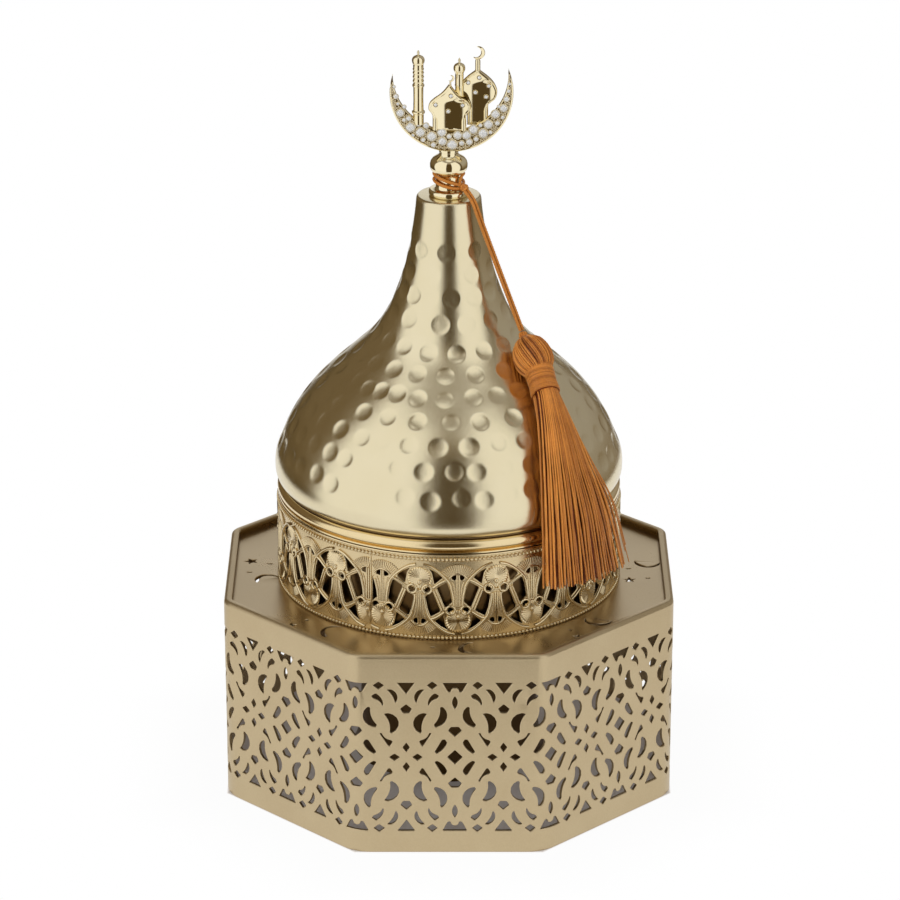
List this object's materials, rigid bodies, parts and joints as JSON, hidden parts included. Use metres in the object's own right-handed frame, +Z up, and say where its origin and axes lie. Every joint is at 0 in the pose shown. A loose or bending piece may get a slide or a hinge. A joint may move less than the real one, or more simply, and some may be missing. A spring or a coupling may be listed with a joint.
{
  "type": "lidded date bowl",
  "caption": "Lidded date bowl: pierced octagonal stand with gallery, footed bowl, hammered onion-dome lid with crescent ornament, and a silk tassel on a cord round its neck.",
  "frame": {"origin": "on the table, under the middle of the stand", "axes": "+Z up the middle of the lid; the crescent ornament and one face of the stand look along -Y; +X to the right, where the tassel hangs between +X and -Y"},
  "size_m": [0.15, 0.15, 0.2535],
  "materials": {
    "gold_matte": "matt metallic paint",
    "gold_stamped": "semi-gloss plated",
    "gold_satin": "satin, hammered",
    "gold_polished": "mirror polished",
    "clear_stone": "clear, faceted",
    "orange_silk": "lustrous thread"
  },
  "bodies": {
    "base": {"lattice_wall": "gold_matte", "top_plate": "gold_matte", "gallery_band": "gold_stamped"},
    "bowl": {"bowl": "gold_stamped", "bowl_foot": "gold_matte"},
    "lid": {"lid_dome": "gold_satin", "lid_collar": "gold_stamped", "finial_stem": "gold_polished", "finial_washer": "gold_polished", "finial_nut": "gold_polished", "crescent_plate": "gold_polished", "left_minaret": "gold_polished", "centre_minaret": "gold_polished", "front_dome": "gold_polished", "back_dome": "gold_polished", "top_crescent": "gold_polished", "clear_stones": "clear_stone"},
    "tassel_loop": {"neck_winding": "orange_silk", "side_knot": "orange_silk"},
    "tassel": {"tassel_cord": "orange_silk", "binding_knot": "orange_silk", "tassel_head": "orange_silk", "tassel_wrap": "orange_silk", "tassel_skirt": "orange_silk"}
  },
  "joints": [
    {"name": "bowl_lift", "type": "slide", "parent": "base", "child": "bowl", "axis": [0, 0, 1], "range_m": [0, 0.12]},
    {"name": "lid_lift", "type": "slide", "parent": "bowl", "child": "lid", "axis": [0, 0, 1], "range_m": [0, 0.12]},
    {"name": "tassel_turn", "type": "hinge", "parent": "lid", "child": "tassel_loop", "pos_m": [0, 0, 0.2071], "axis": [0, 0, 1], "continuous": true},
    {"name": "tassel_swing", "type": "hinge", "parent": "tassel_loop", "child": "tassel", "pos_m": [0.00513, -0.00462, 0.2071], "axis": [-0.6159, -0.7878, 0], "range_deg": [0, 60]}
  ]
}
